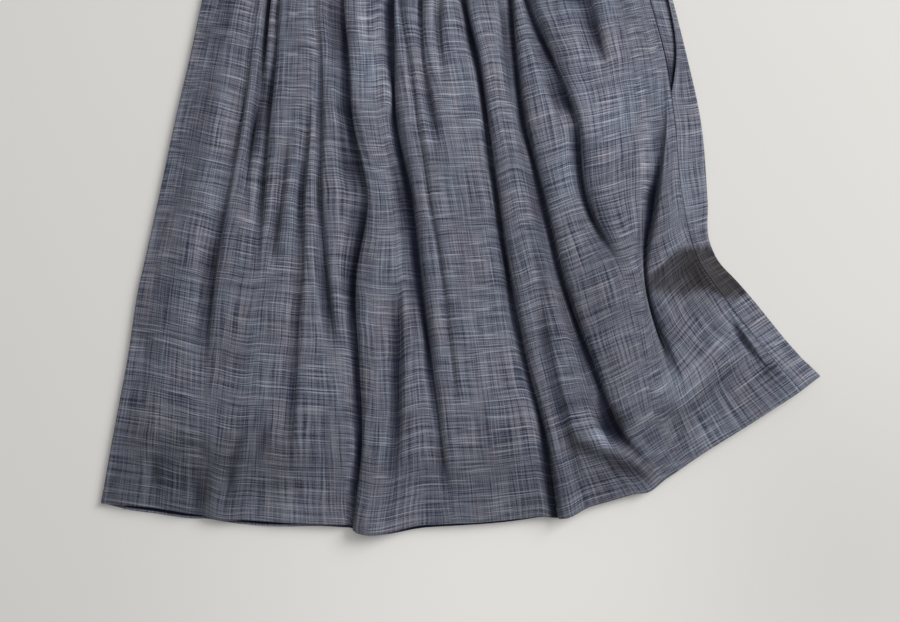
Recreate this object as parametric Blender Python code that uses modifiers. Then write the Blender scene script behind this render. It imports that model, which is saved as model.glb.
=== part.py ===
# Gathered midi skirt, laid flat with its front up.
# Metres, +Z up, +X to the right as it lies, +Y towards the waist.
# The origin is on the surface below the skirt, under the middle of its box.
# The tables hold millimetres: "drop" is the distance below the waist seam,
# "across" the distance to the right of the origin.

import math

import bmesh
import bpy
import numpy as np

MM = 0.001

# Driving sizes, in millimetres
WAIST_Y = 357.5
BAND_DEPTH = 40.0
BAND_HEIGHT = 8.0
BAND_WALL = 2.5
BAND_RIBS = 24
BAND_RIB_RISE = 0.8
WALL = 1.5
LAYER_GAP = 0.5
SEAM_GAP = 0.3
EDGE_RADIUS = 3.0
ROLLED_UNDER = 24.0
BACK_HEM_SHOWS = 3.5

# Heights worked out from them
LOW = 2 * WALL + LAYER_GAP
EDGE_RISE = 2 * EDGE_RADIUS - LOW

# Columns round a folded edge, by their angle from its side
TURN_DEGREES = (-54, -18, 18, 54)

# The pocket's opening in the right seam
POCKET = {"drop": 210.0, "half_length": 100.0, "gape": 20.0, "tuck": 4.0, "wall": 1.0}

# How far the crown falls away towards a folded edge
SHOULDER_LEFT = 46.0
SHOULDER_RIGHT = 40.0

ROWS = 19
ROWS_POCKET = 12
CREST_STEP = 26.0

# Outline of the laid skirt: drop, left fold, right fold, right side seam
OUTLINE = (
    (0, -200, 150, 132),
    (110, -232, 184, 158),
    (215, -257, 212, 187),
    (275, -270, 227, 203),
    (335, -284, 240, 212),
    (415, -301, 247, 220),
    (460, -311, 250, 231),
    (478, -315, 259, 238),
    (495, -319, 275, 249),
    (575, -332, 343, 311),
    (655, -347, 430, 386),
    (735, -361, 520, 480),
)

# Hem of the front: across, drop
HEM = (
    (-356, 718),
    (-260, 730),
    (-140, 738),
    (-20, 738),
    (70, 731),
    (140, 717),
    (195, 698),
    (240, 668),
    (300, 630),
    (356, 593),
)

# Scallops of the front hem: across, half width, extra drop
SCALLOPS = (
    (-235, 24, 3),
    (-84, 38, 11),
    (102, 26, 6),
    (188, 18, 4),
)

# Height of the cloth's crown above its lowest level: drop, rise
CROWN = (
    (0, 7.0),
    (110, 9.0),
    (215, 11.0),
    (335, 12.0),
    (455, 11.5),
    (575, 9.5),
    (655, 7.5),
    (745, 4.5),
)

# Creases of the front, left to right. The places are read at PATH_DROPS.
# name, across at each drop, share of the crown that it cuts, where it starts
# and ends, its feet to the left and right, points across it
PATH_DROPS = (215, 275, 335, 415, 495, 575, 655, 735)
CREASES = (
    ("far_left", (-238, -252, -264, -279, -292, -299, -303, -307), 0.50, 0, 255, 9, 9, 3),
    ("left_long", (-212, -220, -220, -231, -244, -252, -256, -262), 0.55, 0, 690, 8, 9, 3),
    ("left_deep", (-188, -196, -204, -217, -228, -236, -243, -250), 0.75, 0, 445, 6, 7, 3),
    ("left_twin", (-179, -187, -190, -196, -210, -217, -222, -234), 0.50, 0, 690, 6, 7, 3),
    ("left_short", (-164, -169, -171, -176, -186, -194, -200, -204), 0.40, 0, 490, 6, 6, 3),
    ("left_mid", (-152, -150, -149, -156, -157, -163, -169, -168), 0.60, 0, 690, 8, 8, 3),
    ("inner_left", (-141, -138, -135, -137, -131, -122, -120, -118), 0.60, 0, 600, 7, 9, 3),
    ("strip_left", (-116, -116, -112, -103, -107, -103, -101, -110), 0.95, 0, 745, 12, 9, 5),
    ("strip_low", (-86, -84, -79, -68, -63, -63, -66, -76), 0.55, 480, 735, 9, 8, 3),
    ("strip_right", (-71, -68, -62, -49, -38, -30, -21, -13), 1.00, 0, 700, 7, 9, 5),
    ("centre_a", (-55, -51, -44, -31, -19, -12, -4, 4), 0.40, 0, 640, 6, 6, 3),
    ("centre_b", (-39, -36, -24, -12, 0, 9, 16, 24), 0.45, 0, 470, 6, 7, 3),
    ("centre_c", (-20, -17, -7, 8, 19, 28, 37, 45), 0.40, 0, 290, 6, 6, 3),
    ("long_a", (0, 15, 24, 36, 49, 63, 81, 93), 1.00, 0, 750, 9, 7, 5),
    ("low_inner", (12, 24, 36, 52, 70, 85, 105, 128), 0.55, 500, 720, 9, 10, 3),
    ("long_b", (46, 56, 62, 79, 104, 129, 157, 230), 1.00, 0, 672, 18, 7, 5),
    ("long_c", (64, 83, 116, 130, 159, 172, 191, 216), 0.95, 0, 490, 7, 20, 5),
    ("right_a", (130, 133, 140, 151, 168, 182, 205, 240), 0.50, 0, 320, 12, 9, 3),
    ("right_b", (155, 163, 169, 171, 176, 195, 222, 260), 0.35, 0, 270, 8, 8, 3),
    ("side_deep", (175, 187, 197, 191, 184, 209, 240, 280), 1.00, 330, 580, 8, 12, 5),
    ("flare_short", (182, 197, 207, 214, 232, 293, 330, 345), 0.60, 545, 625, 7, 8, 3),
)
CREASE_FADE = 60.0
# The wall never meets itself, because a crease keeps a crest beside it and a limit on its slope
FOOT_SHARE = 0.36
STEEPEST = 1.5

# Broad swells and hollows: across, drop, half width, half length, turn in degrees, rise
SWELLS = (
    (-84, 752, 30, 70, 0, 8.0),
    (104, 728, 24, 80, 14, 9.0),
    (26, 300, 16, 150, 10, 3.0),
    (232, 492, 50, 24, 62, -5.0),
    (205, 612, 20, 52, 68, 3.5),
    (140, 650, 16, 30, 60, 3.0),
    (-300, 690, 14, 46, -8, -2.5),
    (-258, 712, 13, 40, -4, -2.5),
)

# Ridges of the back, each under the middle of two creases of the front:
# left crease, right crease, rise, where it ends, half width
RIDGES = (
    ("left_long", "left_deep", 3.5, 520, 9),
    ("left_twin", "left_short", 3.0, 400, 8),
    ("left_mid", "inner_left", 3.0, 620, 8),
    ("strip_left", "strip_low", 4.0, 745, 10),
    ("strip_right", "centre_a", 3.0, 560, 7),
    ("centre_b", "centre_c", 3.0, 480, 8),
    ("long_a", "low_inner", 4.0, 745, 10),
    ("long_b", "long_c", 3.5, 640, 9),
    ("long_c", "right_a", 4.0, 600, 12),
    ("right_b", "side_deep", 3.0, 520, 9),
)

# name, colour, roughness
FINISHES = (
    ("front_panel", (0.070, 0.078, 0.105), 0.82),
    ("back_panel", (0.066, 0.074, 0.101), 0.82),
    ("waistband", (0.064, 0.071, 0.097), 0.84),
    ("pocket_right", (0.060, 0.067, 0.092), 0.86),
)


# Reading the tables


def smooth_read(stations, values, at):
    """Cubic curve through the values, with straight ends beyond the first and last station."""
    stations = np.asarray(stations, float)
    values = np.asarray(values, float)
    slopes = np.gradient(values, stations)
    inside = np.clip(at, stations[0], stations[-1])
    i = np.clip(np.searchsorted(stations, inside, side="right") - 1, 0, len(stations) - 2)
    run = stations[i + 1] - stations[i]
    t = (inside - stations[i]) / run
    start = values[i] * (1 + 2 * t) * (1 - t) ** 2 + slopes[i] * run * t * (1 - t) ** 2
    end = values[i + 1] * t * t * (3 - 2 * t) + slopes[i + 1] * run * t * t * (t - 1)
    beyond = np.where(at < stations[0], slopes[0], slopes[-1]) * (at - inside)
    return start + end + beyond


def ease(t):
    """Smooth step from 0 to 1 as t goes from 0 to 1."""
    t = np.clip(t, 0.0, 1.0)
    return t * t * (3 - 2 * t)


def outline(column, drop):
    """Across position of one of the outline's lines: 1 left, 2 right, 3 side seam."""
    return smooth_read([row[0] for row in OUTLINE], [row[column] for row in OUTLINE], drop)


def left_fold(drop):
    return outline(1, drop)


def right_fold(drop):
    return outline(2, drop)


def side_seam(drop):
    return outline(3, drop)


def seam_clear(drop):
    """Half of the gap at the side seam, wider where the seam runs aslant."""
    slope = (side_seam(drop + 5) - side_seam(drop - 5)) / 10
    return SEAM_GAP / 2 * (1 + np.abs(slope))


def pocket_gape(drop):
    """How far the pocket's two edges stand apart, a parabola along the opening."""
    t = (drop - POCKET["drop"]) / POCKET["half_length"]
    return POCKET["gape"] * np.clip(1 - t * t, 0.0, None)


def hem_drop(across, scallops=1.0):
    """Drop of the hem below the waist seam, with a round scallop at each raised fold."""
    drop = smooth_read([p[0] for p in HEM], [p[1] for p in HEM], across)
    for centre, half_width, extra in SCALLOPS:
        t = np.clip((across - centre) / half_width, -1, 1)
        drop = drop + scallops * extra * np.cos(math.pi / 2 * t) ** 2
    return drop


# The lines that the front's columns follow: left fold, creases, side seam


def waist_across(place):
    """Creases stand evenly along the waist seam, from the left fold to the side seam."""
    left, right = OUTLINE[0][1], OUTLINE[0][3]
    return left + (right - left) * (place + 1) / (len(CREASES) + 1)


def crease_path(place, drop):
    """Across position of a crease, run up from its table to its even place at the waist."""
    at_waist = waist_across(place)
    path = CREASES[place][1]
    between = (at_waist + path[0]) / 2
    return smooth_read((0, 110) + PATH_DROPS, (at_waist, between) + path, drop)


CREASE_PLACE = {row[0]: place for place, row in enumerate(CREASES)}


def front_line(line, drop):
    """Line 0 is the left fold, line 1 the first crease, and the last line is the side seam."""
    if line == 0:
        return left_fold(drop)
    if line == len(CREASES) + 1:
        return side_seam(drop)
    return crease_path(line - 1, drop)


def crease_feet(place, drop):
    """Reach of a crease to each side, never past a set share of the way to its neighbour."""
    line = place + 1
    here = front_line(line, drop)
    left = np.minimum(CREASES[place][5], FOOT_SHARE * (here - front_line(line - 1, drop)))
    right = np.minimum(CREASES[place][6], FOOT_SHARE * (front_line(line + 1, drop) - here))
    return left, right


def crease_cut(place, across, drop):
    """Share of the crown that one crease takes away, a raised cosine across it."""
    share, start, end = CREASES[place][2:5]
    left, right = crease_feet(place, drop)
    share = np.minimum(share, STEEPEST * np.minimum(left, right) / crown_rise(drop))
    offset = across - crease_path(place, drop)
    t = np.clip(np.where(offset < 0, offset / left, offset / right), -1, 1)
    fade_in = 1.0 if start == 0 else ease((drop - start) / CREASE_FADE)
    fade_out = ease((end - drop) / CREASE_FADE)
    return share * fade_in * fade_out * np.cos(math.pi / 2 * t) ** 2


def crown_rise(drop):
    return smooth_read([row[0] for row in CROWN], [row[1] for row in CROWN], drop)


def swell_rise(across, drop):
    """Sum of the swells, each a smooth oval mound, its length turned from the +Y axis."""
    rise = np.zeros_like(across)
    for centre, at_drop, half_width, half_length, turn, height in SWELLS:
        c, s = math.cos(math.radians(turn)), math.sin(math.radians(turn))
        dx, dy = across - centre, drop - at_drop
        u = (dx * c - dy * s) / half_width
        w = (dx * s + dy * c) / half_length
        rise = rise + height * np.exp(-1.6 * (u * u + w * w))
    return rise


def top_height(across, drop):
    """Height of the upper layer's visible face above the surface that the skirt lies on."""
    crown = np.clip(crown_rise(drop) + swell_rise(across, drop), EDGE_RISE, None)
    from_left = ease((across - left_fold(drop) - EDGE_RADIUS) / SHOULDER_LEFT)
    from_right = ease((right_fold(drop) - EDGE_RADIUS - across) / SHOULDER_RIGHT)
    rise = EDGE_RISE + (crown - EDGE_RISE) * from_left * from_right
    for place in range(len(CREASES)):
        rise = rise * (1 - crease_cut(place, across, drop))
    return LOW + rise


def ridge_line(ridge, drop):
    """Middle and half width of a back ridge, which keeps between two creases of the front."""
    left = crease_path(CREASE_PLACE[ridge[0]], drop)
    right = crease_path(CREASE_PLACE[ridge[1]], drop)
    return (left + right) / 2, np.minimum(ridge[4], 0.45 * (right - left))


def under_height(across, drop):
    """Height of the underside: flat on the surface, with low ridges that stay under the front."""
    rise = np.zeros_like(across)
    for ridge in RIDGES:
        middle, half_width = ridge_line(ridge, drop)
        t = np.clip((across - middle) / half_width, -1, 1)
        mound = ridge[2] * ease((ridge[3] - drop) / CREASE_FADE) * np.cos(math.pi / 2 * t) ** 2
        rise = np.maximum(rise, mound)
    room = top_height(across, drop) - 2 * WALL - LAYER_GAP - 1.0
    return np.minimum(rise, np.clip(room, 0.0, None))


# Placing columns and rows


def settle(column_across, count, rows, hem):
    """Across and drop of every point: each column runs from the hem to the waist seam.

    A column meets the hem where its drop equals the hem's drop at its own place, found by
    halving steps. Its rows share that length evenly, so rows turn with the hem."""
    hem_at = np.full(count, 700.0)
    for _ in range(40):
        hem_at = 0.5 * hem_at + 0.5 * hem(column_across(hem_at))
    share = np.linspace(1.0, 0.0, rows)[:, None]
    drop = share * hem_at[None, :]
    return column_across(drop), drop


def front_columns():
    """Column list of the front: (line, share of its foot, offset from the line).

    On a crest the offset is a share of the way to the next crease's foot."""
    columns = [(0, 0.0, ROLLED_UNDER), (0, 0.0, ROLLED_UNDER / 2), (0, 0.0, EDGE_RADIUS)]
    columns += [(0, 0.0, EDGE_RADIUS * (1 - math.cos(math.radians(a)))) for a in TURN_DEGREES]
    columns.append((0, 0.0, EDGE_RADIUS))
    columns += crest_columns(0)
    for place, row in enumerate(CREASES):
        shares = (-1, -0.5, 0, 0.5, 1) if row[7] == 5 else (-1, 0, 1)
        columns += [(place + 1, share, 0.0) for share in shares]
        columns += crest_columns(place + 1)
    columns.append((len(CREASES) + 1, "seam", 0.0))
    return columns


def crest_columns(line):
    """Columns on the crest after a line, more of them where it opens wide."""
    widths = [front_line(line + 1, drop) - front_line(line, drop) for drop in (415, 575, 700)]
    count = max(1, round(float(max(widths)) / CREST_STEP))
    return [(line, "crest", (i + 1) / (count + 1)) for i in range(count)]


def front_across(drop, columns):
    """Across position of every front column at the drops given, one column to a place."""
    drop = np.broadcast_to(drop, np.broadcast_shapes(np.shape(drop), (len(columns),)))
    across = np.empty(drop.shape)
    for i, (line, share, offset) in enumerate(columns):
        at = drop[..., i]
        here = front_line(line, at)
        if share == "crest":
            right = crease_feet(line - 1, at)[1] if line > 0 else EDGE_RADIUS
            left = crease_feet(line, at)[0] if line < len(CREASES) else seam_clear(at)
            start, end = here + right, front_line(line + 1, at) - left
            across[..., i] = start + offset * (end - start)
        elif share == "seam":
            across[..., i] = here - seam_clear(at)
        elif share == 0.0:
            across[..., i] = here + offset
        else:
            left, right = crease_feet(line - 1, at)
            across[..., i] = here + share * (left if share < 0 else right)
    return across


def turn_height(degrees):
    """Height on the half round that joins the underside to the top at a folded edge."""
    return EDGE_RADIUS * (1 + math.sin(math.radians(degrees)))


# Making the meshes


def grid_object(name, across, drop, height, wall, collection, closed=False):
    """A grid laid on the computed points, row by row from the hem, thickened inwards."""
    rows, columns = across.shape
    bm = bmesh.new()
    bmesh.ops.create_grid(bm, x_segments=columns - 1, y_segments=rows - 1, size=1)
    mesh = bpy.data.meshes.new(name)
    bm.to_mesh(mesh)
    bm.free()
    points = np.stack([across, WAIST_Y - drop, height], axis=-1).reshape(-1, 3) * MM
    mesh.vertices.foreach_set("co", points.astype(np.float32).ravel())
    if closed:
        bm = bmesh.new()
        bm.from_mesh(mesh)
        bmesh.ops.remove_doubles(bm, verts=bm.verts[:], dist=0.00001)
        bm.to_mesh(mesh)
        bm.free()
    mesh.shade_smooth()
    mesh.update()
    thing = bpy.data.objects.new(name, mesh)
    collection.objects.link(thing)
    solidify = thing.modifiers.new("Cloth", "SOLIDIFY")
    solidify.thickness = wall * MM
    solidify.offset = -1.0
    return thing


def front_panel(collection):
    columns = front_columns()
    across, drop = settle(lambda d: front_across(d, columns), len(columns), ROWS, hem_drop)
    height = top_height(across, drop)
    height[:, :3] = 0.0
    for i, degrees in enumerate(TURN_DEGREES):
        height[:, 3 + i] = turn_height(degrees)
    return grid_object("front_panel", across, drop, height, WALL, collection)


# Back columns: on the part rolled over the front, round the fold, then three on each ridge
# and one between each two, with the fold and the left seam at the ends
BACK_TOP_SHARES = (0.0, 0.35, 0.7, 1.0)
BACK_COLUMNS = len(BACK_TOP_SHARES) + len(TURN_DEGREES) + 4 * len(RIDGES) + 3


def back_across(drop, count):
    """Across position of every back column: seam to right fold, round it, and back beneath."""
    drop = np.broadcast_to(drop, np.broadcast_shapes(np.shape(drop), (count,)))
    across = np.empty(drop.shape)
    i = 0
    for share in BACK_TOP_SHARES:
        at = drop[..., i]
        edge = side_seam(at) + seam_clear(at) + pocket_gape(at)
        across[..., i] = edge + share * (right_fold(at) - EDGE_RADIUS - edge)
        i += 1
    for degrees in reversed(TURN_DEGREES):
        at = drop[..., i]
        across[..., i] = right_fold(at) - EDGE_RADIUS * (1 - math.cos(math.radians(degrees)))
        i += 1
    stops = [lambda at: right_fold(at) - EDGE_RADIUS]
    for ridge in reversed(RIDGES):
        for side in (1, 0, -1):
            stops.append(lambda at, r=ridge, s=side: ridge_line(r, at)[0] + s * ridge_line(r, at)[1])
    stops.append(lambda at: left_fold(at) + ROLLED_UNDER + SEAM_GAP)
    for n, stop in enumerate(stops):
        at = drop[..., i]
        across[..., i] = stop(at)
        i += 1
        if n % 3 == 0 and n < len(stops) - 1:
            at = drop[..., i]
            across[..., i] = (stop(at) + stops[n + 1](at)) / 2
            i += 1
    return across


def back_hem(across):
    """The back's hem shows just past the front's on the left, and hides towards the right."""
    shows = BACK_HEM_SHOWS * ease((130 - across) / 120)
    return hem_drop(across, scallops=0.25) + shows


def back_panel(collection):
    across, drop = settle(lambda d: back_across(d, BACK_COLUMNS), BACK_COLUMNS, ROWS, back_hem)
    height = under_height(across, drop)
    top = len(BACK_TOP_SHARES)
    height[:, :top] = top_height(across[:, :top], drop[:, :top])
    for i, degrees in enumerate(reversed(TURN_DEGREES)):
        height[:, top + i] = turn_height(degrees)
    height[:, top + 4] = 0.0
    height[:, -1] = 0.0
    return grid_object("back_panel", across, drop, height, WALL, collection)


def waistband(collection):
    """A flattened ring with gathered ribs, its lower face on the surface."""
    left, right = OUTLINE[0][1], OUTLINE[0][2]
    radius = BAND_HEIGHT / 2
    flat = np.linspace(left + radius, right - radius, 2 * BAND_RIBS + 1)
    rib = BAND_RIB_RISE * (np.arange(2 * BAND_RIBS + 1) % 2)
    turn = np.radians(np.linspace(90, -90, 7)[1:-1])
    round_out, round_up = radius * np.cos(turn), radius * np.sin(turn)
    right_turn = right - radius + round_out
    left_turn = left + radius - round_out
    across = np.concatenate([flat, right_turn, flat[::-1], left_turn, flat[:1]])
    top = BAND_HEIGHT + rib
    height = np.concatenate([top, radius + round_up, rib[::-1], radius - round_up, top[:1]])
    drop = np.array([-SEAM_GAP, -SEAM_GAP - BAND_DEPTH / 2, -SEAM_GAP - BAND_DEPTH])[:, None]
    across = np.broadcast_to(across, (3, across.size))
    height = np.broadcast_to(height, across.shape)
    drop = np.broadcast_to(drop, across.shape)
    return grid_object("waistband", across, drop, height, BAND_WALL, collection, closed=True)


def pocket_right(collection):
    """The facing that shows in the open side seam, just under the edges of both panels."""
    reach = POCKET["half_length"] + 2 * POCKET["tuck"]
    drop = np.linspace(POCKET["drop"] + reach, POCKET["drop"] - reach, ROWS_POCKET)[:, None]
    share = np.linspace(0.0, 1.0, 5)[None, :]
    start = side_seam(drop) - POCKET["tuck"]
    width = np.minimum(pocket_gape(drop) + 2 * POCKET["tuck"], right_fold(drop) - EDGE_RADIUS - start)
    across = start + share * width
    drop = np.broadcast_to(drop, across.shape)
    height = top_height(across, drop) - 1.25 * WALL - SEAM_GAP
    return grid_object("pocket_right", across, drop, height, POCKET["wall"], collection)


def finish(thing, colour, roughness):
    material = bpy.data.materials.new(thing.name + "_cloth")
    material.use_nodes = True
    shader = material.node_tree.nodes["Principled BSDF"]
    shader.inputs["Base Color"].default_value = (*colour, 1.0)
    shader.inputs["Roughness"].default_value = roughness
    shader.inputs["Metallic"].default_value = 0.0
    thing.data.materials.append(material)


def main():
    for thing in list(bpy.data.objects):
        bpy.data.objects.remove(thing, do_unlink=True)
    collection = bpy.data.collections.new("pleated_midi_skirt")
    bpy.context.scene.collection.children.link(collection)
    makers = {
        "front_panel": front_panel,
        "back_panel": back_panel,
        "waistband": waistband,
        "pocket_right": pocket_right,
    }
    for name, colour, roughness in FINISHES:
        finish(makers[name](collection), colour, roughness)


main()
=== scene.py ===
# Gathered midi skirt in slub chambray, laid flat with its front up.
# Shapes are worked out in millimetres: "across" runs right, "drop" runs down from the waist seam.
import math
import bpy
import numpy as np
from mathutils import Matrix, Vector


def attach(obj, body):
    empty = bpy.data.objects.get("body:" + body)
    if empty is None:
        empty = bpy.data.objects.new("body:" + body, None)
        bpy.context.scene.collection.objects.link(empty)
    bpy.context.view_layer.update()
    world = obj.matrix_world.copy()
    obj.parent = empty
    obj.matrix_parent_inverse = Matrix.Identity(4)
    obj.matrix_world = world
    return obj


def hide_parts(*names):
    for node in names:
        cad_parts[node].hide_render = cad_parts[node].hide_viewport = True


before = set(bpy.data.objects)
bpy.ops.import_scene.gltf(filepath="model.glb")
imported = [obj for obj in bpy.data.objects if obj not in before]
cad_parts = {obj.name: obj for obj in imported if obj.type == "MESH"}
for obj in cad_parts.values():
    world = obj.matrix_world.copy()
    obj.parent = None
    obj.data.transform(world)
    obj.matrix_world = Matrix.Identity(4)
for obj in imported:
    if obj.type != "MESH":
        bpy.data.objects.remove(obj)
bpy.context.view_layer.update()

mm = 0.001
print("frame loaded")

skirt = {
    "waistY": 357.5,  # y of the waist seam
    "cloth": 0.55,  # thickness of the chambray
    "creaseFloor": 3.5,  # height of the front where a crease is deepest
    "edgeRadius": 3.0,  # half the height of the folded sides
    "rolledUnder": 24.0,  # how far the front turns under at the left
    "seamGap": 0.9,  # from a panel's edge columns to its last flat one
    "shoulderLeft": 46.0,  # width over which the crown falls to the fold
    "shoulderRight": 40.0,
    "backHemShows": 4.5,
    "cutLength": 738.0,
    "hemEdge": 1.1,  # the outer layer starts this far above the hem's edge
    "crestLift": 1.15,
    "gatherFade": 120.0,
}
edgeRise = 2 * skirt["edgeRadius"] - skirt["creaseFloor"]

# drop, left fold, right fold, right side seam
outlineRows = [
    (0, -200, 150, 132), (110, -232, 184, 158), (215, -257, 212, 187), (275, -270, 227, 203),
    (335, -284, 240, 212), (415, -301, 247, 220), (460, -311, 250, 231), (478, -315, 259, 238),
    (495, -319, 275, 249), (575, -332, 343, 311), (655, -347, 430, 386), (735, -361, 520, 480),
]

# across, drop of the front hem
hemRows = [
    (-356, 718), (-310, 721), (-260, 728.5), (-140, 738), (-20, 738), (70, 731), (140, 717),
    (195, 698), (240, 668), (300, 630), (356, 593),
]

# scallops of the hem: across, half width to the left and to the right, extra drop
hemScallops = [
    (-238, 20, 28, 3), (-92, 20, 62, 9), (102, 24, 30, 6), (188, 18, 18, 4),
]

# how far the back hem shows below the front one, and how much light its painted shade leaves there:
# across, shown, light
backHemRows = [
    (-356, 0.5, 0.5), (-340, 4.0, 1.0), (-300, 6.6, 1.0), (-266, 5.6, 0.8), (-240, 2.4, 0.1),
    (-216, 5.4, 0.7), (-175, 5.0, 1.0), (-140, 2.8, 0.2), (-112, 3.2, 0.0), (-70, 4.2, 0.0),
    (-20, 3.4, 0.0), (60, 2.6, 0.0), (110, 1.6, 0.0), (160, 0.4, 0.0),
]
backHemEnds = backHemRows[0][0], backHemRows[-1][0]

# drop, height of the crests above the bottom of the creases
crownRows = [
    (0, 7.0), (110, 9.0), (215, 11.0), (335, 12.0), (455, 11.5), (575, 9.5), (655, 7.5), (745, 4.5),
]

# Creases of the front, left to right, each with its across at every one of these drops.
# name, across, depth, from, to, left foot, right foot, pinch, lean
pathDrops = [215, 275, 335, 415, 495, 575, 655, 735]
creases = [
    ("farLeft", (-238, -252, -264, -279, -292, -299, -303, -307), 0.14, 0, 255, 9, 8, 0.1, -0.1),
    ("leftLong", (-201, -208, -216, -231, -244, -252, -256, -262), 0.46, 0, 680, 10, 6, 0.3, -0.2),
    ("leftDeep", (-188, -194, -203, -214, -228, -236, -243, -250), 0.95, 0, 440, 8, 5, 0.45, -0.1),
    ("leftTwin", (-179, -183, -189, -195, -203, -213, -222, -234), 0.5, 0, 490, 7, 6, 0.4, -0.1),
    ("leftShort", (-164, -169, -171, -177, -187, -194, -200, -204), 0.42, 330, 500, 7, 6, 0.2, 0.0),
    ("leftMid", (-152, -150, -150, -156, -158, -163, -169, -168), 0.45, 300, 690, 9, 7, 0.2, -0.1),
    ("innerLeft", (-140, -138, -138, -138, -131, -123, -117, -113), 0.46, 0, 578, 9, 6, 0.3, -0.1),
    ("stripLeft", (-115, -111, -107, -92, -104, -101, -98, -106), 1.0, 0, 800, 10, 6, 0.5, -0.2),
    ("stripLow", (-86, -84, -81, -68, -62, -61, -63, -72), 0.62, 480, 728, 12, 7, 0.1, -0.1),
    ("stripRight", (-66, -66, -64, -48, -39, -29, -19, -11), 1.0, 0, 720, 10, 6, 0.4, -0.1),
    ("centreA", (-60, -51, -42, -30, -17, -8, 0, 8), 0.33, 0, 640, 5, 4, 0.2, -0.1),
    ("centreB", (-38, -36, -25, -12, 0, 11, 19, 27), 0.42, 0, 372, 6, 4, 0.4, -0.1),
    ("centreC", (-20, -17, -7, 8, 19, 28, 37, 45), 0.26, 0, 290, 7, 6, 0.2, 0.0),
    ("longA", (5, 18, 27, 38, 50, 66, 86, 97), 1.0, 0, 800, 8, 5, 0.45, -0.1),
    ("lowInner", (14, 28, 39, 53, 71, 88, 108, 128), 0.55, 500, 720, 11, 9, 0.1, -0.1),
    ("longB", (51, 56, 64, 84, 103, 131, 166, 240), 1.0, 0, 690, 9, 6, 0.4, -0.1),
    ("longC", (66, 92, 115, 126, 162, 180, 200, 250), 1.0, 0, 488, 10, 6, 0.4, -0.2),
    ("rightA", (128, 143, 151, 156, 178, 192, 212, 262), 0.3, 0, 300, 11, 6, 0.3, -0.1),
    ("rightB", (155, 166, 173, 177, 181, 200, 226, 272), 0.3, 0, 270, 9, 7, 0.1, 0.0),
    ("sideDeep", (176, 196, 203, 194, 184, 208, 240, 285), 1.0, 285, 604, 12, 6, 0.4, -0.1),
    ("flareShort", (182, 198, 208, 215, 244, 296, 336, 352), 0.36, 508, 606, 9, 5, 0.3, -0.1),
]
creaseForm = {
    "fade": 60.0,  # length over which a crease starts and ends
    "unevenDepth": 0.10,  # how much the creases vary along their length
    "unevenWidth": 0.28,
    "broad": 0.25,  # share of the depth that the broad cosine has
    "leastFoot": 2.0,
    "widestFoot": 0.42,  # as a share of the room beside the crease
    "broadWidth": 2.6,  # in feet
    "widestBroad": 0.80,  # as a share of the room
    "leftPower": 1.15,  # steepness of each side
    "rightPower": 2.2,
    "shoulder": 1.8,  # in feet, from the bottom to the end of the shoulder
}

# places where a crease changes:
# drop, half length, added depth, wider to the left, wider to the right
creasePlaces = {
    "leftLong": [(240, 90, -0.25, -3, 0), (490, 110, 0.05, 5, 2), (610, 90, -0.45, 0, 2)],
    "leftDeep": [(215, 45, 0.05, 2, 0), (300, 60, -0.3, 0, 0), (400, 60, -0.55, 0, 0)],
    "leftTwin": [(300, 50, 0.15, 2, 0)],
    "leftMid": [(540, 90, -0.15, 2, 0)],
    "innerLeft": [(220, 110, -0.3, -4, -2), (420, 50, 0.15, -2, 0)],
    "stripLeft": [
        (220, 40, -0.42, -4, -2), (300, 70, -0.3, 5, 0), (398, 66, -0.56, 4, 0),
        (478, 44, -0.12, 4, 2), (655, 80, 0.0, 2, 2), (735, 40, -0.25, 1, 2),
    ],
    "stripRight": [
        (232, 52, 0.0, 4, 2), (312, 34, 0.0, -4, -2), (368, 34, 0.0, 1, 0), (480, 60, 0.0, 2, 2),
        (640, 70, -0.3, -1, 0),
    ],
    "longA": [(262, 34, 0.0, 5, 0), (520, 120, 0.0, 2, 1), (690, 80, 0.0, 9, 2)],
    "longB": [
        (250, 62, 0.0, -5, -1), (345, 40, 0.0, 3, 1), (560, 80, 0.0, 2, 1), (638, 38, 0.0, 16, 2),
    ],
    "longC": [
        (238, 40, 0.0, 2, 0), (296, 34, -0.55, 0, 2), (339, 30, -0.45, -3, 0),
        (400, 40, 0.0, -1, 0), (470, 50, -0.25, 0, 0),
    ],
    "sideDeep": [
        (336, 84, -0.85, -8, -3), (425, 40, 0.3, 4, 3), (530, 50, 0.2, 0, 0),
        (486, 34, -0.2, -6, -2), (560, 34, 0.0, 4, 5),
    ],
}
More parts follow.
